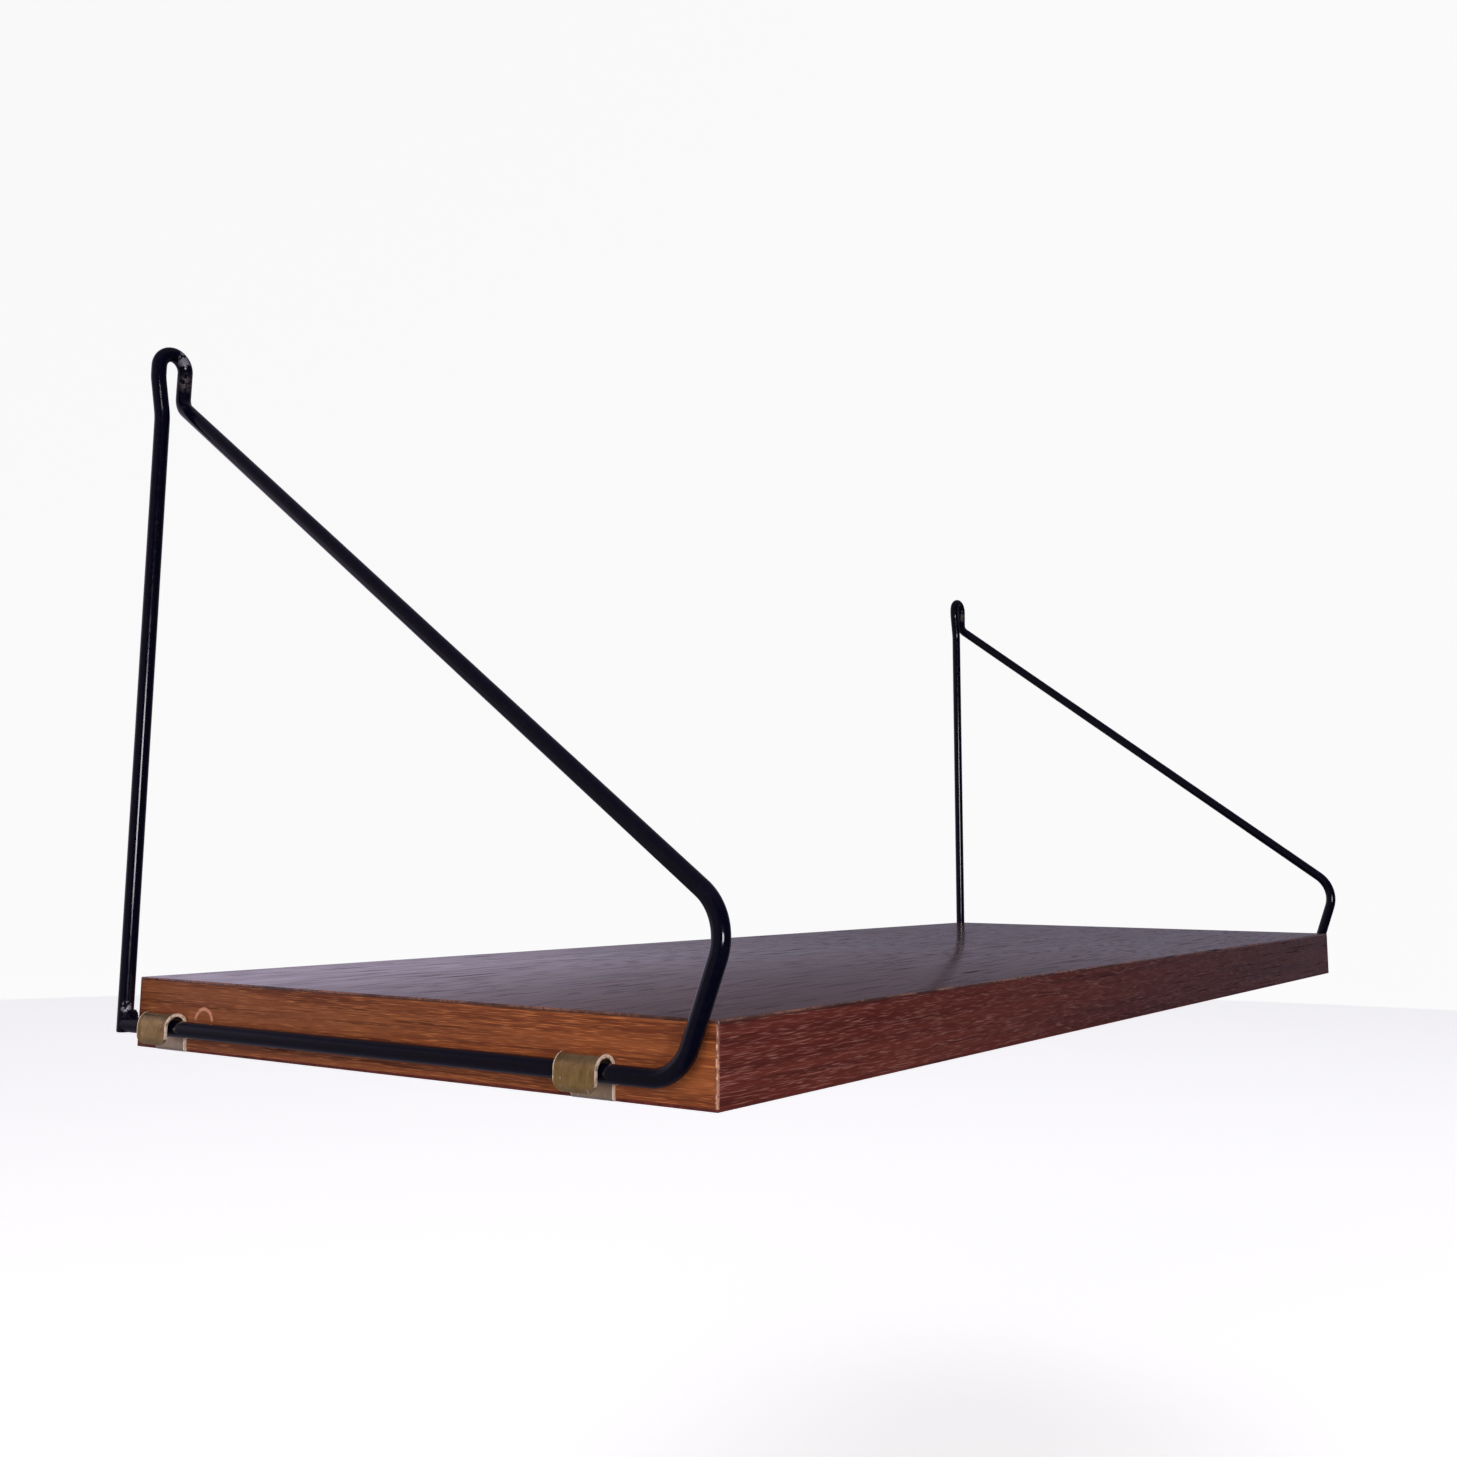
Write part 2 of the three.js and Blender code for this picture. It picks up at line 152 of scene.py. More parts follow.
class Nodes:
    """A node tree under construction. Each method adds nodes and returns the last one's output socket."""

    def __init__(self, tree):
        self.tree = tree

    def node(self, kind, inputs=(), output=0, **settings):
        """A node with its settings. An input is a number or colour to set, or a socket to link."""
        node = self.tree.nodes.new(kind)
        for name, value in settings.items():
            setattr(node, name, value)
        for key, value in dict(inputs).items():
            if isinstance(value, bpy.types.NodeSocket):
                self.tree.links.new(value, node.inputs[key])
            else:
                node.inputs[key].default_value = value
        return node.outputs[output]

    def math(self, operation, *values):
        return self.node("ShaderNodeMath", enumerate(values), operation=operation)

    def vector_math(self, operation, *values, output=0):
        return self.node("ShaderNodeVectorMath", enumerate(values), output, operation=operation)

    def combine(self, x, y, z):
        return self.node("ShaderNodeCombineXYZ", {"X": x, "Y": y, "Z": z})

    def axes(self, vector):
        """The vector's x, y and z."""
        split = self.node("ShaderNodeSeparateXYZ", {0: vector}).node
        return tuple(split.outputs)

    def noise(self, vector, scale, detail=2.0, roughness=0.5, distortion=0.0):
        values = {"Vector": vector, "Scale": scale, "Detail": detail, "Roughness": roughness}
        return self.node("ShaderNodeTexNoise", {**values, "Distortion": distortion})

    def stretched(self, vector, x, y, z):
        """The vector with each axis multiplied. A pattern read from it is long where the factor is small."""
        return self.vector_math("MULTIPLY", vector, (x, y, z))

    def steps(self, value, low, high, start=0.0, end=1.0):
        """start below low, end above high, and smooth in between."""
        keys = ("Value", "From Min", "From Max", "To Min", "To Max")
        inputs = dict(zip(keys, (value, low, high, start, end)))
        return self.node("ShaderNodeMapRange", inputs, interpolation_type="SMOOTHSTEP")

    def mix(self, share, a, b, blend="MIX"):
        inputs = {0: share, 6: a, 7: b}
        return self.node("ShaderNodeMix", inputs, 2, data_type="RGBA", blend_type=blend)

    def blend(self, share, a, b):
        return self.node("ShaderNodeMix", {0: share, 2: a, 3: b}, 0, data_type="FLOAT")

    def product(self, *values):
        result = values[0]
        for value in values[1:]:
            result = self.math("MULTIPLY", result, value)
        return result


class Shader(Nodes):
    """A material on one Principled BSDF."""

    def __init__(self, name, roughness=0.5, metallic=0.0, **sockets):
        self.material = bpy.data.materials.new(name)
        self.material.use_nodes = True
        super().__init__(self.material.node_tree)
        self.surface = self.tree.nodes["Principled BSDF"]
        self.surface.inputs["Roughness"].default_value = roughness
        self.surface.inputs["Metallic"].default_value = metallic
        for socket, value in sockets.items():
            self.surface.inputs[socket.replace("_", " ")].default_value = value
        self.place = self.node("ShaderNodeTexCoord", output="Object")

    def near(self, centre, radius, softness):
        """1 close to a point, 0 beyond radius."""
        gap = self.vector_math("DISTANCE", self.place, centre, output="Value")
        return self.steps(gap, radius - softness, radius, 1.0, 0.0)

    def bump(self, height, distance, strength):
        """A normal that makes height look raised, by distance in metres where height is 1."""
        inputs = {"Height": height, "Distance": distance, "Strength": strength}
        return self.node("ShaderNodeBump", inputs)

    def finish(self, **sockets):
        """Link each socket of the surface, and give the material."""
        for socket, value in sockets.items():
            self.tree.links.new(value, self.surface.inputs[socket.replace("_", " ")])
        return self.material


def rgb(red, green, blue):
    """An opaque colour in linear light."""
    return (red, green, blue, 1.0)


# ---- Wood ----------------------------------------------------------------------------------------

# The veneer of each face. tones are the grain's dark, middle and light colours; arched grain is flat-sawn.
# Every pattern below is read from coordinates that are multiplied to features per metre.
TEAK_TOP = {
    "tones": (rgb(0.04, 0.016, 0.016), rgb(0.085, 0.036, 0.03), rgb(0.125, 0.058, 0.045)),
    "arched": True,
    "pores": 0.9,
    "flecks": None,
    "roughness": 0.13,
    "index": 1.5,
}
TEAK_FRONT = {
    "tones": (rgb(0.06, 0.01, 0.008), rgb(0.12, 0.02, 0.014), rgb(0.17, 0.034, 0.022)),
    "arched": False,
    "pores": 0.35,
    "flecks": rgb(0.36, 0.145, 0.115),
    "roughness": 0.42,
    "index": 1.4,
}
# The ends' tones are lighter and more orange than the front's: partly the teak's own colour and partly
# painted light, the left end being lit from the left.
TEAK_END = {
    "tones": (rgb(0.085, 0.02, 0.008), rgb(0.2, 0.056, 0.021), rgb(0.31, 0.11, 0.04)),
    "arched": False,
    "pores": 0.5,
    "flecks": rgb(0.4, 0.15, 0.06),
    "roughness": 0.42,
    "index": 1.4,
}
TEAK_UNDER = {**TEAK_FRONT, "arched": True, "flecks": None, "roughness": 0.45}

RUBBED_TEAK = rgb(0.5, 0.25, 0.16)
RUBBED_TOP = rgb(0.3, 0.13, 0.09)
PALE_TEAK = rgb(0.85, 0.52, 0.4)
SCUFFED_TEAK = rgb(0.62, 0.28, 0.19)

# A pale arch shows in the left end where the rear clip once sat, nearer the front than it does now.
MARK_SHIFT = 14.4 * MM
MARK_HEIGHT = 9.3 * MM
MARK_RADIUS = 4 * MM

# Painted shade darkens the front from the left corner as far as here, as the light falls off.
FRONT_SHADE_END = 50 * MM


def grain_place(s, grain, across):
    """Coordinates with x along the grain, y across it in the face and z into the wood."""
    parts = dict(zip("XYZ", s.axes(s.place)))
    depth = next(axis for axis in "XYZ" if axis not in (grain, across))
    return s.combine(parts[grain], parts[across], parts[depth])


def growth_rings(s, at, arched):
    """1 in the dark part of a ring. The rings are nested arches in a flat-sawn leaf and lines in others."""
    along, over, _ = s.axes(at)
    drift = s.noise(s.stretched(at, 3.0, 22.0, 22.0), 1.0, 3.0, 0.55)
    ripple = s.noise(s.stretched(at, 14.0, 160.0, 160.0), 1.0, 2.0, 0.5)
    if arched:
        arch = s.product(s.math("POWER", s.math("ABSOLUTE", over), 2.0), 22.0)
        phase = s.math("ADD", s.math("ADD", along, arch), s.product(drift, 0.5))
        phase = s.product(s.math("ADD", phase, s.product(ripple, 0.05)), 210.0)
    else:
        phase = s.math("ADD", over, s.product(drift, 0.02))
        phase = s.product(s.math("ADD", phase, s.product(ripple, 0.003)), 1100.0)
    return s.steps(s.math("SINE", phase), -0.2, 1.0)


def teak(name, grain, across, look, seed, wear=None):
    """Oiled teak veneer. wear is a function that changes the colour and the roughness in places: wear, and
    on the front painted shade.
    """
    dark, middle, light = look["tones"]
    s = Shader(name, IOR=look["index"])
    at = s.vector_math("ADD", grain_place(s, grain, across), (seed, seed * 0.37, seed * 0.71))
    ring = growth_rings(s, at, look["arched"])

    # Broad clouds, then long streaks, then fibres.
    cloud = s.noise(s.stretched(at, 4.0, 60.0, 60.0), 1.0, 4.0, 0.6)
    streak = s.noise(s.stretched(at, 5.0, 330.0, 330.0), 1.0, 4.0, 0.6)
    fibre = s.noise(s.stretched(at, 28.0, 2400.0, 2400.0), 1.0, 3.0, 0.6)
    colour = s.mix(s.steps(cloud, 0.32, 0.7), middle, light)
    colour = s.mix(s.product(ring, 0.35 if look["arched"] else 0.16), colour, dark)
    colour = s.mix(s.product(s.steps(streak, 0.46, 0.68), 0.85), colour, dark)
    colour = s.mix(s.product(s.steps(streak, 0.5, 0.3), 0.45), colour, light)
    colour = s.mix(s.product(s.steps(fibre, 0.6, 0.35), 0.3), colour, dark)

    # Pores: dark dashes, long and fine, thickest in the rings.
    dash = s.noise(s.stretched(at, 24.0, 1300.0, 1300.0), 1.0, 1.0, 0.4)
    crowd = s.math("MULTIPLY_ADD", ring, -0.05, 0.665)
    pore = s.steps(s.math("SUBTRACT", dash, crowd), 0.0, 0.025)
    colour = s.mix(s.product(pore, look["pores"]), colour, rgb(*(0.3 * part for part in dark[:3])))

    if look["flecks"]:
        fleck = s.noise(s.stretched(at, 140.0, 4300.0, 4300.0), 1.0, 1.0, 0.5)
        colour = s.mix(s.product(s.steps(fleck, 0.54, 0.7), 0.85), colour, look["flecks"])

    least = look["roughness"]
    rough = s.steps(cloud, 0.2, 0.8, least, least + 0.06)
    rough = s.blend(s.product(ring, 0.2), rough, 0.4)
    rough = s.blend(s.product(pore, 0.9), rough, 0.8)
    if wear:
        colour, rough = wear(s, colour, rough)

    height = s.math("MULTIPLY_ADD", fibre, 0.3, s.product(ring, -0.2))
    height = s.math("SUBTRACT", height, pore)
    return s.finish(Base_Color=colour, Roughness=rough, Normal=s.bump(height, 0.05 * MM, 0.4))


def drift(axis, start, end, gain):
    """The colour multiplied along an axis, from unchanged at start to multiplied by gain at end. On the
    front it is painted shade.
    """

    def wear(s, colour, rough):
        along = dict(zip("XYZ", s.axes(s.place)))[axis]
        return s.mix(s.steps(along, start, end), colour, gain, "MULTIPLY"), rough

    return wear


def rubbed_lines(lines, tone, width, least):
    """Wear along arrises. Each line is (axis, place, axis, place), where those two planes meet."""

    def wear(s, colour, rough):
        parts = dict(zip("XYZ", s.axes(s.place)))
        ragged = s.noise(s.place, 800.0, 4.0, 0.65)
        patchy = s.noise(s.place, 40.0, 3.0, 0.6)
        reach = s.product(s.steps(ragged, 0.3, 0.6), s.steps(patchy, 0.4, 0.62, least, 1.0))
        for axis_a, place_a, axis_b, place_b in lines:
            gap_a = s.math("ABSOLUTE", s.math("SUBTRACT", parts[axis_a], place_a))
            gap_b = s.math("ABSOLUTE", s.math("SUBTRACT", parts[axis_b], place_b))
            gap = s.math("DIVIDE", s.math("ADD", gap_a, gap_b), width)
            share = s.product(s.steps(gap, 1.0, 0.4), reach)
            colour = s.mix(share, colour, tone)
            rough = s.blend(share, rough, 0.6)
        return colour, rough

    return wear


def pale_strip(face_x):
    """The cut end of the front band, rubbed pale in chips, as it shows at the end of the board."""

    def wear(s, colour, rough):
        x, y, _ = s.axes(s.place)
        gap = s.math("ABSOLUTE", s.math("SUBTRACT", x, face_x))
        ragged = s.noise(s.place, 420.0, 4.0, 0.65)
        share = s.product(
            s.steps(gap, 0.3 * MM, 0.12 * MM),
            s.steps(y, BOARD_FRONT + 0.12 * MM, BOARD_FRONT + 0.3 * MM),
            s.steps(ragged, 0.46, 0.6, 0.12, 1.0),
        )
        return s.mix(share, colour, PALE_TEAK), s.blend(share, rough, 0.6)

    return wear


def old_clip_mark(face_x):
    """A pale arch where the rear clip sat before it was moved."""
    low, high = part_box("left_rear_clip")
    middle_y = (low.y + high.y) / 2 - MARK_SHIFT
    middle_z = BOARD_BOTTOM + MARK_HEIGHT

    def wear(s, colour, rough):
        x, y, z = s.axes(s.place)
        sideways = s.math("SUBTRACT", y, middle_y)
        upward = s.math("SUBTRACT", z, middle_z)
        reach = s.math("SQRT", s.math("ADD", s.math("POWER", sideways, 2.0), s.math("POWER", upward, 2.0)))
        wobble = s.product(s.math("SUBTRACT", s.noise(s.place, 200.0), 0.5), 0.8 * MM)
        off_ring = s.math("ABSOLUTE", s.math("SUBTRACT", s.math("ADD", reach, wobble), MARK_RADIUS))
        inside_face = s.math("ABSOLUTE", s.math("SUBTRACT", x, face_x))
        share = s.product(
            s.steps(off_ring, 0.7 * MM, 0.25 * MM),
            s.steps(upward, 0.0, 1.2 * MM),
            s.steps(s.noise(s.place, 700.0), 0.3, 0.5, 0.4, 1.0),
            s.steps(inside_face, 0.4 * MM, 0.2 * MM),
        )
        return s.mix(share, colour, SCUFFED_TEAK), s.blend(share, rough, 0.6)

    return wear


def in_turn(*wears):
    """Several changes of colour and roughness, one over the other: wear, and on the front painted shade."""

    def wear(s, colour, rough):
        for one in wears:
            colour, rough = one(s, colour, rough)
        return colour, rough

    return wear


def board_materials():
    """A material for each slab of the board, by its CAD node's name."""
    sides = (("X", BOARD_LEFT), ("X", BOARD_RIGHT))
    top_arrises = [("Y", BOARD_FRONT, "Z", BOARD_TOP)] + [(*side, "Z", BOARD_TOP) for side in sides]
    front_arrises = [(*side, "Y", BOARD_FRONT) for side in sides]
    top_wear = rubbed_lines(top_arrises, RUBBED_TOP, 0.7 * MM, least=0.0)
    corner_wear = rubbed_lines(front_arrises, RUBBED_TEAK, 0.8 * MM, least=0.1)
    # Painted shade: the front darkens away from the left corner, as the light falls off.
    front_painted_shade = drift("X", BOARD_LEFT, FRONT_SHADE_END, rgb(0.68, 0.82, 0.9))
    end_drift = drift("Y", BOARD_BACK, BOARD_FRONT, rgb(1.3, 1.2, 1.0))
    strips = (pale_strip(BOARD_LEFT), pale_strip(BOARD_RIGHT))
    front_wear_and_shade = in_turn(front_painted_shade, corner_wear, *strips)
    right_wear = in_turn(end_drift, corner_wear)
    left_wear = in_turn(right_wear, old_clip_mark(BOARD_LEFT))
    return {
        "top_veneer": teak("teak_top", "X", "Y", TEAK_TOP, 0.13, top_wear),
        "bottom_veneer": teak("teak_bottom", "X", "Y", TEAK_UNDER, 2.9),
        "front_edge_band": teak("teak_front", "X", "Z", TEAK_FRONT, 1.7, front_wear_and_shade),
        "back_edge_band": teak("teak_back", "X", "Z", TEAK_FRONT, 4.1),
        "left_end_band": teak("teak_left", "Y", "Z", TEAK_END, 0.6, left_wear),
        "right_end_band": teak("teak_right", "Y", "Z", TEAK_END, 3.3, right_wear),
    }


def particle_board():
    """The core's pressed wood chips."""
    s = Shader("particle_board", roughness=0.9)
    chips = s.node("ShaderNodeTexVoronoi", {"Vector": s.place, "Scale": 900.0}, "Color")
    shade, _, _ = s.axes(chips)
    colour = s.mix(shade, rgb(0.35, 0.2, 0.09), rgb(0.62, 0.42, 0.22))
    return s.finish(Base_Color=colour, Normal=s.bump(shade, 0.15 * MM, 0.6))


# ---- Lacquer and metals --------------------------------------------------------------------------

# Painted highlight: a pale brass for the light caught along the clips' cut edges and in a line just inside
# each.
PAINTED_HIGHLIGHT_BRASS = rgb(1.0, 0.84, 0.7)
GREYED_BRASS = rgb(0.76, 0.66, 0.56)
HIGHLIGHT_LINE_INSET = 2.4 * MM


def black_lacquer(name, chips, bare):
    """Glossy blue-black lacquer, flaked pale at each (centre, radius) in chips and rubbed brown in bare."""
    s = Shader(name, IOR=1.4, Specular_IOR_Level=0.36)
    dust = s.noise(s.place, 500.0, 5.0, 0.7)
    colour = s.mix(s.steps(dust, 0.45, 0.8), rgb(0.0015, 0.0015, 0.0075), rgb(0.004, 0.004, 0.012))
    rough = s.steps(dust, 0.35, 0.75, 0.09, 0.16)
    flake = s.noise(s.place, 620.0, 4.0, 0.62, 0.4)
    height = s.noise(s.place, 260.0, 2.0, 0.5)
    metal = 0.0
    for centre, radius in bare:
        share = s.math("MULTIPLY", s.near(centre, radius, 0.8 * radius), s.steps(flake, 0.4, 0.52))
        brown = s.mix(dust, rgb(0.04, 0.03, 0.036), rgb(0.1, 0.078, 0.085))
        colour = s.mix(share, colour, brown)
        rough = s.blend(share, rough, 0.55)
    for centre, radius in chips:
        share = s.math("MULTIPLY", s.near(centre, radius, 0.6 * radius), s.steps(flake, 0.47, 0.53))
        pale = s.mix(dust, rgb(0.14, 0.13, 0.17), rgb(0.55, 0.52, 0.6))
        colour = s.mix(share, colour, pale)
        rough = s.blend(share, rough, 0.5)
        height = s.math("SUBTRACT", height, share)
        metal = s.math("ADD", s.math("MULTIPLY", share, 0.5), metal)
    normal = s.bump(height, 0.03 * MM, 0.4)
    return s.finish(Base_Color=colour, Roughness=rough, Normal=normal, Metallic=metal)


def aged_brass():
    """Drawn brass strip, tarnished brown, with painted highlights along the strips' cut edges and in a line
    just inside each.
    """
    s = Shader("aged_brass")
    drawn = s.noise(s.stretched(s.place, 3600.0, 3600.0, 160.0), 1.0, 3.0, 0.6)
    tarnish = s.noise(s.place, 150.0, 4.0, 0.55, 0.4)
    spots = s.noise(s.place, 1500.0, 3.0, 0.6)
    colour = s.mix(s.steps(tarnish, 0.36, 0.66), rgb(0.64, 0.45, 0.2), rgb(0.44, 0.28, 0.11))
    colour = s.mix(s.product(s.steps(spots, 0.6, 0.74), 0.5), colour, rgb(0.2, 0.12, 0.05))
    colour = s.mix(s.product(s.steps(drawn, 0.52, 0.72), 0.45), colour, rgb(0.9, 0.7, 0.4))
    rough = s.steps(tarnish, 0.3, 0.7, 0.28, 0.4)
    rough = s.blend(s.steps(drawn, 0.5, 0.75), rough, 0.3)
    metal = 1.0
    x, y, _ = s.axes(s.place)
    off_end = s.math("SUBTRACT", s.math("ABSOLUTE", x), BOARD_RIGHT)
    web = s.product(s.steps(off_end, -0.5 * MM, 0.0), s.steps(off_end, 1.6 * MM, 1.1 * MM))
    colour = s.mix(s.product(web, 0.6), colour, GREYED_BRASS)
    ragged = s.noise(s.place, 700.0, 3.0, 0.6)
    # Painted highlights: pale, less metallic lines along each cut edge and a line just inside it, where the
    # strip catches the light.
    for place in ("front", "rear"):
        low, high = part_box(f"left_{place}_clip")
        for edge_y, highlight_line_y in ((low.y, low.y + HIGHLIGHT_LINE_INSET), (high.y, high.y - HIGHLIGHT_LINE_INSET)):
            edge_gap = s.math("ABSOLUTE", s.math("SUBTRACT", y, edge_y))
            edge = s.product(s.steps(edge_gap, 0.35 * MM, 0.12 * MM), s.steps(ragged, 0.3, 0.5, 0.3, 1.0))
            highlight_line_gap = s.math("ABSOLUTE", s.math("SUBTRACT", y, highlight_line_y))
            highlight_line = s.product(s.steps(highlight_line_gap, 0.3 * MM, 0.1 * MM), s.steps(ragged, 0.5, 0.62))
            colour = s.mix(s.math("MAXIMUM", edge, highlight_line), colour, PAINTED_HIGHLIGHT_BRASS)
            metal = s.blend(edge, metal, 0.35)
            rough = s.blend(edge, rough, 0.3)
    height = s.math("ADD", s.product(drawn, 0.5), tarnish)
    normal = s.bump(height, 0.05 * MM, 0.4)
    return s.finish(Base_Color=colour, Roughness=rough, Normal=normal, Metallic=metal)


def dull_steel():
    """The screws' steel, under a thin brown film."""
    s = Shader("dull_steel", metallic=1.0)
    film = s.noise(s.place, 700.0, 4.0, 0.6)
    colour = s.mix(s.steps(film, 0.4, 0.7), rgb(0.55, 0.54, 0.5), rgb(0.3, 0.28, 0.25))
    rough = s.steps(film, 0.3, 0.7, 0.3, 0.5)
    return s.finish(Base_Color=colour, Roughness=rough, Normal=s.bump(film, 0.03 * MM, 0.4))


# ---- Mesh helpers --------------------------------------------------------------------------------


def piece(name, mesh, material, body, slot, *nodes):
    """A shown piece that rides on a body and stands for its CAD nodes."""
    mesh.materials.clear()
    mesh.materials.append(material)
    mesh.shade_smooth()
    mesh.set_sharp_from_angle(angle=math.radians(40))
    shown = bpy.data.objects.new(name, mesh)
    bpy.context.scene.collection.objects.link(shown)
    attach(shown, body)
    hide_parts(*nodes)


def mesh_of(name, points, faces):
    """A mesh of points, and of faces that list them by number."""
    mesh = bpy.data.meshes.new(name)
    mesh.from_pydata([tuple(p) for p in points], [], faces)
    mesh.validate()
    return mesh


def fix_normals(mesh):
    """Turn every face of a closed mesh outwards."""
    bm = bmesh.new()
    bm.from_mesh(mesh)
    bmesh.ops.recalc_face_normals(bm, faces=bm.faces)
    bm.to_mesh(mesh)
    bm.free()


def baked(mesh, kind, **settings):
    """The mesh with a modifier applied."""
    holder = bpy.data.objects.new("holder", mesh)
    bpy.context.scene.collection.objects.link(holder)
    modifier = holder.modifiers.new(kind, kind)
    for key, value in settings.items():
        setattr(modifier, key, value)
    bpy.context.view_layer.update()
    shown = holder.evaluated_get(bpy.context.evaluated_depsgraph_get())
    done = bpy.data.meshes.new_from_object(shown)
    bpy.data.objects.remove(holder)
    return done


def bevelled(mesh, width):
    """The mesh with its sharp edges rounded."""
    limit = math.radians(50)
    return baked(mesh, "BEVEL", width=width, segments=2, limit_method="ANGLE", angle_limit=limit)


def carved(mesh, cutters):
    """The mesh less each cutter mesh."""
    for cutter_mesh in cutters:
        cutter = bpy.data.objects.new("cutter", cutter_mesh)
        bpy.context.scene.collection.objects.link(cutter)
        mesh = baked(mesh, "BOOLEAN", object=cutter, operation="DIFFERENCE", solver="EXACT")
        bpy.data.objects.remove(cutter)
    return mesh


def circle_points(radius, z, sides):
    """Points round a level circle about Z."""
    angles = (2 * math.pi * i / sides for i in range(sides))
    return [Vector((radius * math.cos(angle), radius * math.sin(angle), z)) for angle in angles]


def ring_faces(rings, sides):
    """Faces between each ring of points and the next."""
    faces = []
    for ring in range(rings - 1):
        low, high = ring * sides, (ring + 1) * sides
        for i in range(sides):
            j = (i + 1) % sides
            faces.append((low + i, low + j, high + j, high + i))
    return faces


def turned(name, profile, sides):
    """A solid of revolution about Z through (radius, z) points, with flat ends."""
    points = [point for radius, z in profile for point in circle_points(radius, z, sides)]
    faces = ring_faces(len(profile), sides)
    faces.append(tuple(reversed(range(sides))))
    faces.append(tuple(range((len(profile) - 1) * sides, len(profile) * sides)))
    return mesh_of(name, points, faces)


def block(name, low, high):
    """A box between two corners."""
    (x_low, y_low, z_low), (x_high, y_high, z_high) = low, high
    corners = [(x, y, z) for z in (z_low, z_high) for y in (y_low, y_high) for x in (x_low, x_high)]
    faces = [(0, 2, 3, 1), (4, 5, 7, 6), (0, 1, 5, 4), (2, 6, 7, 3), (0, 4, 6, 2), (1, 3, 7, 5)]
    return mesh_of(name, corners, faces)


# ---- Brackets ------------------------------------------------------------------------------------


def bend_points(before, corner, after, radius, step):
    """Points round a bend that touches corner-before and corner-after."""
    inward = (corner - before).normalized()
    outward = (after - corner).normalized()
    angle = inward.angle(outward)
    start = corner - inward * radius * math.tan(angle / 2)
    side = (outward - inward * outward.dot(inward)).normalized()
    centre = start + side * radius
    count = max(2, math.ceil(angle / step))
    for i in range(count + 1):
        turn = angle * i / count
        yield centre - side * radius * math.cos(turn) + inward * radius * math.sin(turn)


def rounded_path(corners, spacing=5 * MM, step=math.radians(3)):
    """Points along straights and bends through (corner, radius) pairs."""
    places = [Vector(corner) for corner, _ in corners]
    key_points = [places[0]]
    for i in range(1, len(places) - 1):
        key_points.extend(bend_points(places[i - 1], places[i], places[i + 1], corners[i][1], step))
    key_points.append(places[-1])
    points = [key_points[0]]
    for target in key_points[1:]:
        gap = (target - points[-1]).length
        if gap < 1e-6:
            continue
        count = max(1, math.ceil(gap / spacing))
        start = points[-1]
        points.extend(start.lerp(target, (i + 1) / count) for i in range(count))
    return points


def swept(bm, points, radius, sides):
    """A round tube along points, with its surface a hair uneven as brushed lacquer is, and eased ends."""
    ease = 0.3 * MM
    uneven = 0.02 * MM
    lumps_per_metre = 130
    first, last = points[0], points[-1]
    inward = (points[1] - first).normalized()
    outward = (last - points[-2]).normalized()
    stations = [(first, radius - ease), (first + inward * ease, radius)]
    stations += [(point, radius) for point in points[1:-1]]
    stations += [(last - outward * ease, radius), (last, radius - ease)]
    side = inward.orthogonal().normalized()
    previous = inward
    rings = []
    for i, (point, size) in enumerate(stations):
        ahead = stations[min(i + 1, len(stations) - 1)][0] - stations[max(i - 1, 0)][0]
        tangent = ahead.normalized()
        side = (previous.rotation_difference(tangent) @ side).normalized()
        side = (side - tangent * side.dot(tangent)).normalized()
        previous = tangent
        across = tangent.cross(side)
        ring = []
        for j in range(sides):
            angle = 2 * math.pi * j / sides
            spoke = side * math.cos(angle) + across * math.sin(angle)
            lump = noise.noise((point + spoke * radius) * lumps_per_metre) * uneven
            ring.append(bm.verts.new(point + spoke * (size - uneven + lump)))
        rings.append(ring)
    for low, high in zip(rings, rings[1:]):
        for j in range(sides):
            k = (j + 1) % sides
            bm.faces.new((low[j], low[k], high[k], high[j]))
    bm.faces.new(list(reversed(rings[0])))
    bm.faces.new(rings[-1])


def weld_bead(bm, centre, radius):
    """A lumpy drop of weld metal, lacquered over."""
    made = bmesh.ops.create_icosphere(bm, subdivisions=4, radius=radius)
    for vert in made["verts"]:
        out = vert.co.normalized()
        lump = noise.fractal(out * 2.6 + centre * 300, 0.7, 2.0, 3) * 0.22 * radius
        vert.co = centre + out * (radius + lump)


def bracket_mesh(rail_x):
    """The bent wire, from the rail's back end round to the upright's foot, and the weld that joins them."""

    def at(shift, y, z):
        return (rail_x + shift, y, z)

    path = rounded_path(
        [
            (at(0, UPRIGHT_Y, RAIL_Z), 0),
            (at(0, LOWER_CORNER_Y, RAIL_Z), LOWER_BEND),
            (at(UPPER_CORNER_SHIFT, UPPER_CORNER_Y, UPPER_CORNER_Z), UPPER_BEND),
            (at(KNEE_SHIFT, UPRIGHT_Y, KNEE_Z), KNEE_BEND),
            (at(EYE_LEG_SHIFT, UPRIGHT_Y, EYE_TOP_Z), EYE_RADIUS),
            (at(-EYE_BULGE, UPRIGHT_Y, EYE_TOP_Z), EYE_RADIUS),
            (at(-EYE_BULGE, UPRIGHT_Y, EYE_WAIST_Z), WAIST_BEND),
            (at(0, UPRIGHT_Y, EYE_FOOT_Z), FOOT_BEND),
            (at(0, UPRIGHT_Y, RAIL_Z - WIRE_RADIUS), 0),
        ]
    )
    bm = bmesh.new()
    swept(bm, path, WIRE_RADIUS, WIRE_SIDES)
    corner = Vector(at(0, UPRIGHT_Y - WIRE_RADIUS, RAIL_Z + WIRE_RADIUS))
    weld_bead(bm, corner, WELD_RADIUS)
    bmesh.ops.recalc_face_normals(bm, faces=bm.faces)
    mesh = bpy.data.meshes.new("bracket")
    bm.to_mesh(mesh)
    bm.free()
    return mesh


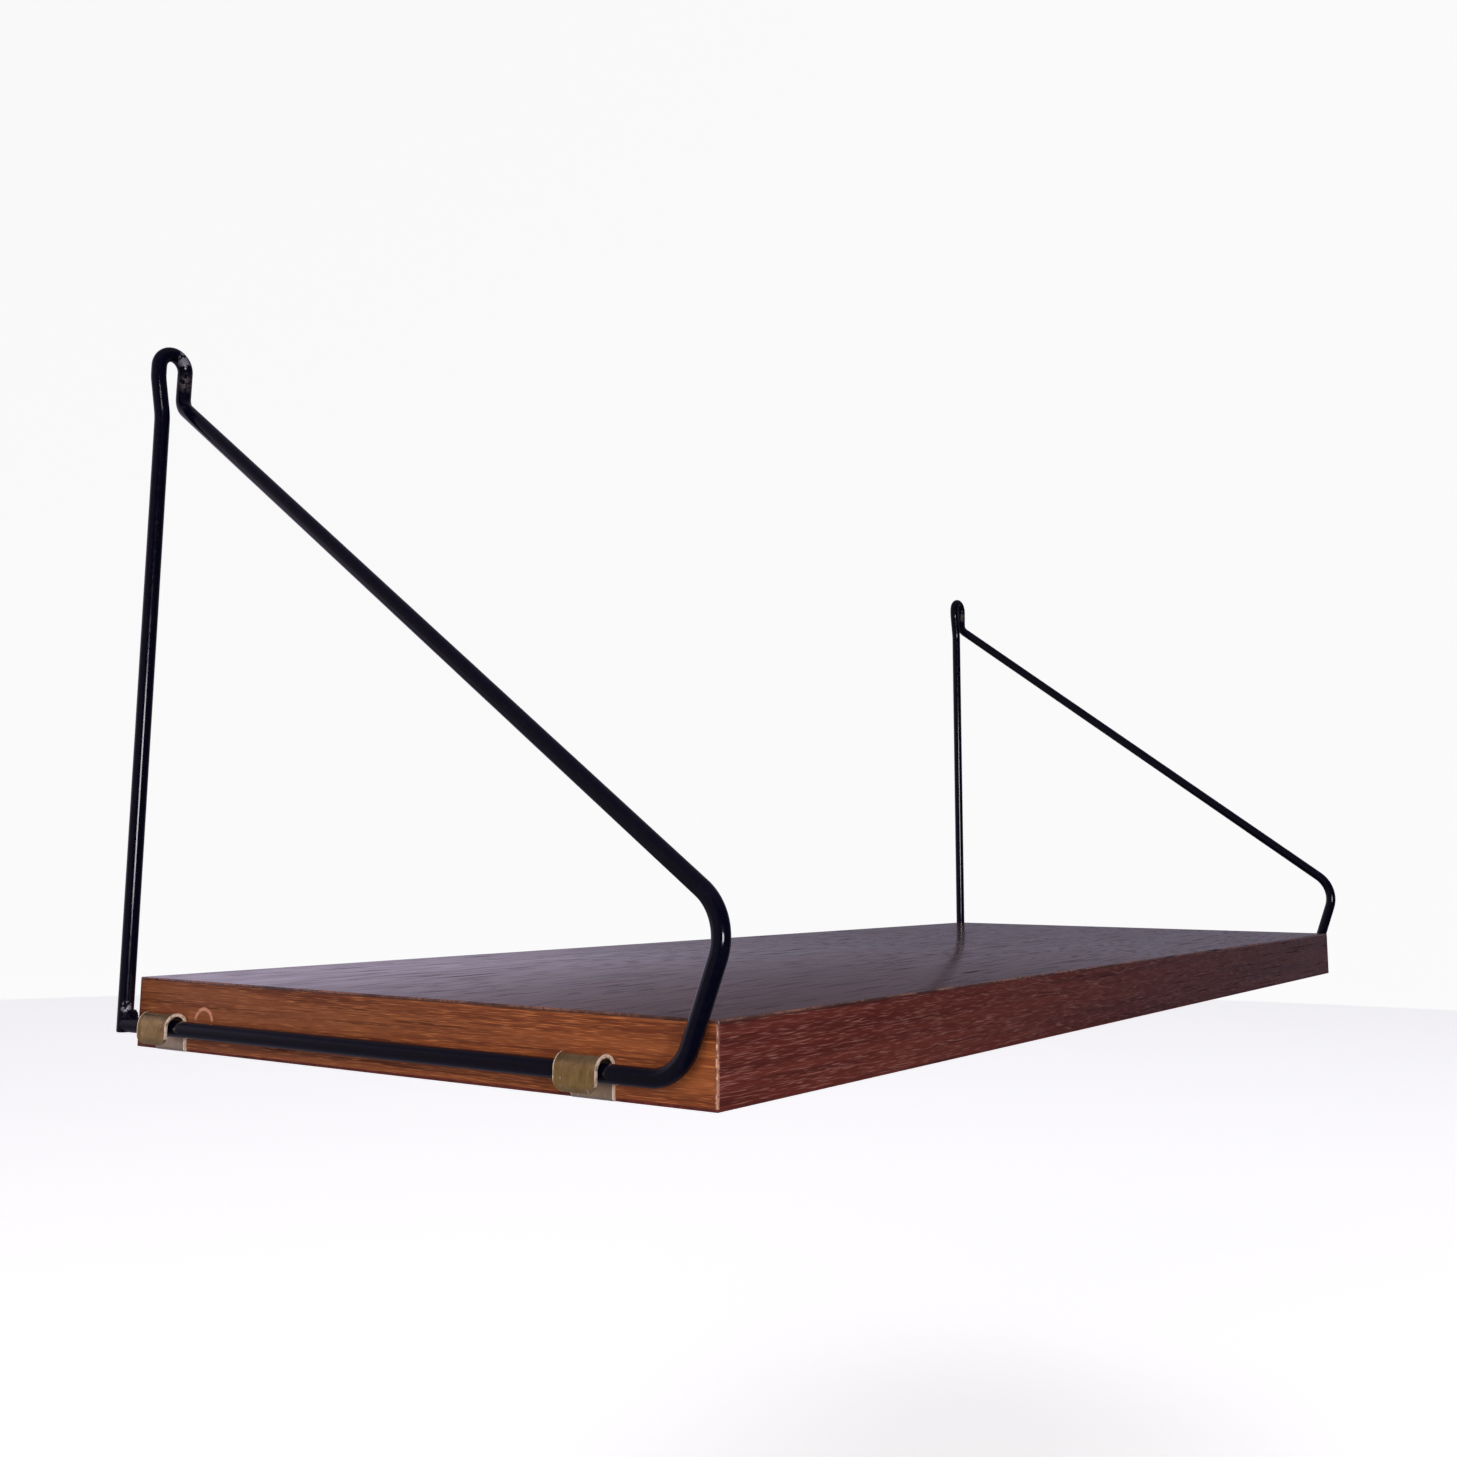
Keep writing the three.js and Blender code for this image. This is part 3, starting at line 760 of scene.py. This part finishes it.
def make_bracket(side, rail_x, shoulder_worn):
    """A bracket. Where the wall pin rubs, the lacquer of the eye's free leg is chipped."""
    face_y = UPRIGHT_Y - WIRE_RADIUS
    shoulder = Vector((rail_x + EYE_LEG_SHIFT - 1.8 * MM, face_y + 0.4 * MM, EYE_TOP_Z - 1.0 * MM))
    leg = Vector((rail_x + EYE_LEG_SHIFT - 1.0 * MM, face_y, EYE_TOP_Z - 9 * MM))
    weld = Vector((rail_x - 1.4 * MM, UPRIGHT_Y - 2 * MM, RAIL_Z + 5.4 * MM))
    chips = [(weld, 2.1 * MM)]
    bare = [(leg, 4.2 * MM)]
    if shoulder_worn:
        chips.append((shoulder, 3.4 * MM))
    material = black_lacquer(f"black_lacquer_{side}", chips, bare)
    body = f"{side}_bracket"
    piece(body, bracket_mesh(rail_x), material, body, "black_lacquer", f"{body}_wire")


# ---- Clips ---------------------------------------------------------------------------------------


def clip_stations():
    """(point, normal) in x and z along the middle of the strip, from the flange's tip to the lip."""

    def straight(start, end, spacing):
        start, end = Vector(start), Vector(end)
        direction = (end - start).normalized()
        normal = Vector((-direction.y, direction.x))
        count = max(1, math.ceil((end - start).length / spacing))
        return [(start.lerp(end, i / count), normal) for i in range(count)]

    def arc(centre, radius, start, end, hollow):
        count = math.ceil(abs(end - start) / math.radians(5))
        out = []
        for i in range(count):
            angle = start + (end - start) * i / count
            spoke = Vector((math.cos(angle), math.sin(angle)))
            out.append((Vector(centre) + spoke * radius, -spoke if hollow else spoke))
        return out

    web_x = CLIP_FIT + SHEET / 2
    flange_z = SHEET / 2
    arch_x = web_x + ARCH_RADIUS
    bend = (web_x - FLANGE_BEND, flange_z + FLANGE_BEND)
    stations = straight((-FLANGE_LENGTH, flange_z), (bend[0], flange_z), 1.5 * MM)
    stations += arc(bend, FLANGE_BEND, -math.pi / 2, 0, True)
    stations += straight((web_x, bend[1]), (web_x, ARCH_Z), 1 * MM)
    stations += arc((arch_x, ARCH_Z), ARCH_RADIUS, math.pi, 0, False)
    stations += straight((arch_x + ARCH_RADIUS, ARCH_Z), (arch_x + ARCH_RADIUS, LIP_Z), 0.4 * MM)
    lip = arc((arch_x, LIP_Z), ARCH_RADIUS, 0, -LIP_ANGLE, False)
    end = -LIP_ANGLE
    spoke = Vector((math.cos(end), math.sin(end)))
    return stations + lip + [(Vector((arch_x, LIP_Z)) + spoke * ARCH_RADIUS, spoke)]


def corner_inset(to_tip):
    """How far a round lower corner draws in the strip's side, at a distance from the lip's tip."""
    if to_tip >= FLAP_CORNER:
        return 0.0
    return FLAP_CORNER - math.sqrt(max(0.0, FLAP_CORNER**2 - (FLAP_CORNER - to_tip) ** 2))


def stand_off(point, share):
    """How far the sheet lies off clip_stations. It flares at its sides, with faint dents, past the board."""
    if point.x <= CLIP_FIT + SHEET:
        return 0.0
    flare = CLIP_FLARE * max(0.0, (abs(share) - FLARE_START) / (1 - FLARE_START)) ** 2
    dent = CLIP_DENT * noise.noise(Vector((point.x * 300, share * 2.2, point.y * 300)))
    return flare + dent - CLIP_FLARE


def strip_points(stations, width):
    """A row of points across the strip at each station, in pairs on its inner and its outer side."""
    gaps = [(b - a).length for (a, _), (b, _) in zip(stations, stations[1:])]
    half_columns = CLIP_COLUMNS // 2
    shares = [math.sin(math.pi / 2 * i / half_columns) for i in range(-half_columns, half_columns + 1)]
    points = []
    for i, (point, normal) in enumerate(stations):
        half = width / 2 - corner_inset(sum(gaps[i:]))
        for share in shares:
            middle = point + normal * stand_off(point, share)
            for offset in (-SHEET / 2, SHEET / 2):
                spot = middle + normal * offset
                points.append(Vector((spot.x, share * half, spot.y)))
    return points


def sheet_faces(rows, columns):
    """Faces of a bent sheet, whose points run in rows with an inner and an outer one to each column."""

    def index(row, column, layer):
        return (row * columns + column) * 2 + layer

    faces = []
    for r in range(rows - 1):
        for c in range(columns - 1):
            quad = [(r, c), (r, c + 1), (r + 1, c + 1), (r + 1, c)]
            faces.append(tuple(index(*place, 1) for place in quad))
            faces.append(tuple(index(*place, 0) for place in reversed(quad)))
        for c in (0, columns - 1):
            faces.append((index(r, c, 0), index(r, c, 1), index(r + 1, c, 1), index(r + 1, c, 0)))
    for r in (0, rows - 1):
        for c in range(columns - 1):
            faces.append((index(r, c, 0), index(r, c + 1, 0), index(r, c + 1, 1), index(r, c, 1)))
    return faces


def clip_mesh(width):
    """A strip of sheet bent along clip_stations, with round lower corners and countersunk holes."""
    stations = clip_stations()
    faces = sheet_faces(len(stations), CLIP_COLUMNS + 1)
    mesh = mesh_of("clip", strip_points(stations, width), faces)
    fix_normals(mesh)
    sinks = []
    for inset in SCREW_INSETS.values():
        sink = countersink()
        sink.transform(Matrix.Translation((-inset, 0, 0)))
        sinks.append(sink)
    return bevelled(carved(mesh, sinks), CLIP_EDGE)


def countersink():
    """What is cut away for a screw's head and shank."""
    rim = SCREW_HEAD_RADIUS + SCREW_HOLE_FIT
    shank = SCREW_SHANK_RADIUS + SCREW_HOLE_FIT
    tall = SCREW_SUNK + SCREW_HEAD_HEIGHT
    profile = [(rim, -1 * MM), (rim, SCREW_SUNK), (shank, tall), (shank, 2 * tall)]
    mesh = turned("sink", profile, SCREW_SIDES)
    fix_normals(mesh)
    return mesh


def screw_mesh():
    """A slotted countersunk wood screw, head down at z = 0."""
    neck = SCREW_SUNK + SCREW_HEAD_HEIGHT
    thread = neck + SCREW_SHANK_LENGTH
    tip = SCREW_SUNK + SCREW_LENGTH
    pitch = (tip - THREAD_TIP - thread) / THREAD_TURNS
    profile = [(SCREW_FACE, SCREW_SUNK), (SCREW_HEAD_RADIUS, SCREW_SUNK + SCREW_RIM)]
    profile += [(SCREW_SHANK_RADIUS, neck), (SCREW_SHANK_RADIUS, thread)]
    for i in range(THREAD_TURNS):
        start = thread + pitch * i
        profile.append((THREAD_ROOT_RADIUS, start + THREAD_ROOT_AT))
        profile.append((SCREW_SHANK_RADIUS, start + THREAD_CREST_AT))
    profile.append((SCREW_POINT, tip))
    screw = turned("screw", profile, SCREW_SIDES)
    fix_normals(screw)
    reach = 2 * SCREW_HEAD_RADIUS
    slot_low = (-reach, -SLOT_WIDTH / 2, -1 * MM)
    slot_high = (reach, SLOT_WIDTH / 2, SCREW_SUNK + SLOT_DEPTH)
    return carved(screw, [block("slot", slot_low, slot_high)])


def make_clip(side, place, brass, steel):
    """One clip and its two screws, on the board's left or right end."""
    name = f"{side}_{place}_clip"
    low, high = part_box(name)
    end_x = BOARD_LEFT if side == "left" else BOARD_RIGHT
    turn = Matrix.Rotation(math.pi if side == "left" else 0.0, 4, "Z")
    seat = Matrix.Translation((end_x, (low.y + high.y) / 2, BOARD_BOTTOM)) @ turn
    clip = clip_mesh(high.y - low.y)
    clip.transform(seat)
    piece(f"{name}_brass", clip, brass, "shelf", "brass", name)
    for i, (row, inset) in enumerate(SCREW_INSETS.items()):
        screw = screw_mesh()
        slot_turn = Matrix.Rotation(SLOT_TURN[place] + SLOT_TURN_STEP * i, 4, "Z")
        screw.transform(seat @ Matrix.Translation((-inset, 0, 0)) @ slot_turn)
        node = f"{name}_{row}_screw"
        piece(f"{node}_steel", screw, steel, "shelf", "steel", node)


# ---- Board ---------------------------------------------------------------------------------------


def touches(clip, low, high):
    """Whether a clip's box meets the box between low and high."""
    clip_low, clip_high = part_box(clip)
    return all(low[i] < clip_high[i] and high[i] > clip_low[i] for i in range(3))


def recess(clip):
    """What is cut away for a clip's flange. It starts just under the board, so that the cut is clean."""
    low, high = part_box(clip)
    fit = Vector((RECESS_FIT, RECESS_FIT, 0))
    start = Vector((low.x, low.y, BOARD_BOTTOM - SHEET))
    end = Vector((high.x, high.y, BOARD_BOTTOM + SHEET))
    return block("recess", start - fit, end + fit)


def slab_mesh(name):
    """A CAD slab again, with its edges eased where they lie on the board's outer arrises."""
    low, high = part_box(name)
    outer = ((BOARD_LEFT, BOARD_FRONT, BOARD_BOTTOM), (BOARD_RIGHT, BOARD_BACK, BOARD_TOP))
    recesses = [recess(clip) for clip in CLIP_NAMES if touches(clip, low, high)]
    mesh = carved(block(name, low, high), recesses)
    bm = bmesh.new()
    bm.from_mesh(mesh)
    bmesh.ops.recalc_face_normals(bm, faces=bm.faces)

    def outer_planes(vert):
        sides = [(i, side) for i in range(3) for side in (0, 1)]
        return {(i, side) for i, side in sides if abs(vert.co[i] - outer[side][i]) < 1e-6}

    def on_outer_arris(edge):
        start, end = edge.verts
        return len(outer_planes(start) & outer_planes(end)) == 2

    eased = [edge for edge in bm.edges if on_outer_arris(edge)]
    bmesh.ops.bevel(bm, geom=eased, offset=EASED_EDGE, segments=3, profile=0.5, affect="EDGES")
    bm.to_mesh(mesh)
    bm.free()
    return mesh


def make_board():
    """The six slabs, and the CAD's own core in particle board."""
    for name, material in board_materials().items():
        slot = "teak_face" if name.endswith("veneer") else "teak_edge"
        piece(f"teak_{name}", slab_mesh(name), material, "shelf", slot, name)
    core = frame["nodes"]["board_core"]
    core.data.materials.clear()
    core.data.materials.append(particle_board())


# ---- Stage ---------------------------------------------------------------------------------------

FLOOR_RADIUS = 3.0
FLOOR_GAP = 10 * MM
COVE_RADIUS = 2.0
COVE_STEPS = 18
WALL_HEIGHT = 9.0
STAGE_SIDES = 96


def pale_surface(name, shade, glow):
    """A matt off-white with a glow of its own, clear when seen from behind."""
    s = Shader(name, roughness=0.9)
    mottle = s.noise(s.place, 3.0, 3.0)
    s.finish(Base_Color=s.mix(mottle, rgb(*[0.97 * shade] * 3), rgb(*[shade] * 3)))
    s.surface.inputs["Emission Color"].default_value = rgb(1, 1, 1)
    s.surface.inputs["Emission Strength"].default_value = glow
    behind = s.node("ShaderNodeNewGeometry", output="Backfacing")
    clear = s.node("ShaderNodeBsdfTransparent")
    both = s.node("ShaderNodeMixShader", {0: behind, 1: s.surface.outputs[0], 2: clear})
    s.tree.links.new(both, s.tree.nodes["Material Output"].inputs["Surface"])
    return s.material


def show_stage(name, points, faces, surface):
    """A stage piece that only the camera sees."""
    mesh = mesh_of(name, points, faces)
    mesh.materials.append(surface)
    mesh.shade_smooth()
    made = bpy.data.objects.new(name, mesh)
    bpy.context.scene.collection.objects.link(made)
    made.visible_glossy = False
    made.visible_diffuse = False
    return made


def make_stage():
    """A round pale floor, and a pale wall that curves up from it all round."""
    tall = CAD_BOX[1].z - CAD_BOX[0].z
    floor_z = CAD_BOX[0].z - tall - FLOOR_GAP
    floor = circle_points(FLOOR_RADIUS, floor_z, STAGE_SIDES)
    floor_surface = pale_surface("pale_floor", shade=0.8, glow=0.68)
    show_stage("floor", floor, [tuple(range(STAGE_SIDES))], floor_surface)

    profile = [(FLOOR_RADIUS + COVE_RADIUS, floor_z + WALL_HEIGHT)]
    for step in reversed(range(COVE_STEPS + 1)):
        turn = math.pi / 2 * step / COVE_STEPS
        out = FLOOR_RADIUS + COVE_RADIUS * math.sin(turn)
        profile.append((out, floor_z + COVE_RADIUS * (1 - math.cos(turn))))
    points = [point for out, z in profile for point in circle_points(out, z, STAGE_SIDES)]
    faces = ring_faces(len(profile), STAGE_SIDES)
    wall_surface = pale_surface("pale_wall", shade=0.1, glow=0.93)
    wall = show_stage("backdrop", points, faces, wall_surface)
    wall.visible_shadow = False


ROOM_BEHIND = rgb(0.045, 0.042, 0.06)
ROOM_AROUND = rgb(0.2, 0.185, 0.245)
ROOM_AHEAD = rgb(0.58, 0.51, 0.68)
ROOM_LEFT = rgb(0.27, 0.23, 0.2)
ROOM_ABOVE = rgb(0.16, 0.15, 0.18)
WARM_WHITE = (1.0, 0.84, 0.68)
COOL_WHITE = (0.95, 0.95, 1.0)
LIT_POINT = Vector((0, BOARD_FRONT / 2, BOARD_TOP))

# The camera was fitted to the photograph. Its turns are in degrees, and its lens is in millimetres.
CAMERA_PLACE = (-0.617, -0.4442, BOARD_BOTTOM + 59.7 * MM)
CAMERA_YAW = 34.04
CAMERA_PITCH = 8.42
CAMERA_ROLL = 0.38
CAMERA_SENSOR = 36
CAMERA_LENS = 38.44
CAMERA_SHIFT = -0.0676


def area_light(name, at, size, power, colour, seen_in_gloss):
    """A light that points at the board and that the camera does not see."""
    light = bpy.data.lights.new(name, "AREA")
    light.shape = "RECTANGLE"
    light.size, light.size_y = size
    light.energy = power
    light.color = colour
    lamp = bpy.data.objects.new(name, light)
    lamp.location = at
    lamp.rotation_euler = (LIT_POINT - Vector(at)).to_track_quat("-Z", "Y").to_euler()
    lamp.visible_glossy = seen_in_gloss
    lamp.visible_camera = False
    bpy.context.scene.collection.objects.link(lamp)


def make_room():
    """What shines on the shelf all round: lavender ahead, warm at the left, and dark behind the camera.

    x, y and z are the direction that the light comes from, each from -1 to 1.
    """
    world = bpy.data.worlds.new("room")
    world.use_nodes = True
    s = Nodes(world.node_tree)
    x, y, z = s.axes(s.node("ShaderNodeTexCoord", output="Generated"))
    colour = s.mix(s.steps(y, -0.5, -0.05), ROOM_BEHIND, ROOM_AROUND)
    ahead = s.product(s.steps(y, 0.45, 0.85), s.steps(z, -0.25, 0.0), s.steps(z, 0.65, 0.3))
    colour = s.mix(ahead, colour, ROOM_AHEAD)
    side = s.product(s.steps(x, -0.4, -0.75), s.steps(y, 0.0, 0.4))
    colour = s.mix(side, colour, ROOM_LEFT)
    colour = s.mix(s.steps(z, 0.5, 0.9), colour, ROOM_ABOVE)
    background = world.node_tree.nodes["Background"]
    world.node_tree.links.new(colour, background.inputs["Color"])
    bpy.context.scene.world = world


def make_lights():
    """A broad warm light at the left, a low window behind the camera, and a soft light overhead."""
    area_light(
        "key", at=(-2.2, -0.7, 0.5), size=(1.6, 1.4), power=24, colour=WARM_WHITE, seen_in_gloss=False
    )
    area_light(
        "window", at=(-1.3, -1.9, -0.06), size=(0.6, 0.36), power=20, colour=COOL_WHITE, seen_in_gloss=True
    )
    area_light(
        "overhead", at=(0.3, -0.6, 2.4), size=(2.0, 2.0), power=17, colour=COOL_WHITE, seen_in_gloss=False
    )


def make_camera():
    """The photograph's viewpoint: left of the near end, a little above the board and looking slightly up."""
    camera = bpy.data.cameras.new("camera")
    camera.sensor_width = CAMERA_SENSOR
    camera.lens = CAMERA_LENS
    camera.shift_y = CAMERA_SHIFT
    yaw, pitch, roll = (math.radians(turn) for turn in (CAMERA_YAW, CAMERA_PITCH, CAMERA_ROLL))
    level = math.cos(pitch)
    forward = Vector((math.cos(yaw) * level, math.sin(yaw) * level, math.sin(pitch)))
    right = Vector((math.sin(yaw), -math.cos(yaw), 0))
    up = right.cross(forward)
    rolled_right = math.cos(roll) * right + math.sin(roll) * up
    rolled_up = math.cos(roll) * up - math.sin(roll) * right
    turn = Matrix((rolled_right, rolled_up, -forward)).transposed().to_4x4()
    holder = bpy.data.objects.new("camera", camera)
    holder.matrix_world = Matrix.Translation(CAMERA_PLACE) @ turn
    bpy.context.scene.collection.objects.link(holder)
    bpy.context.scene.camera = holder


# ---- Everything ----------------------------------------------------------------------------------

bpy.context.scene.view_settings.view_transform = "Standard"
make_camera()
make_room()
make_lights()
make_stage()
make_board()
make_bracket("left", LEFT_RAIL_X, shoulder_worn=True)
make_bracket("right", RIGHT_RAIL_X, shoulder_worn=False)
brass_material = aged_brass()
steel_material = dull_steel()
for end_side in ("left", "right"):
    for end_place in ("front", "rear"):
        make_clip(end_side, end_place, brass_material, steel_material)
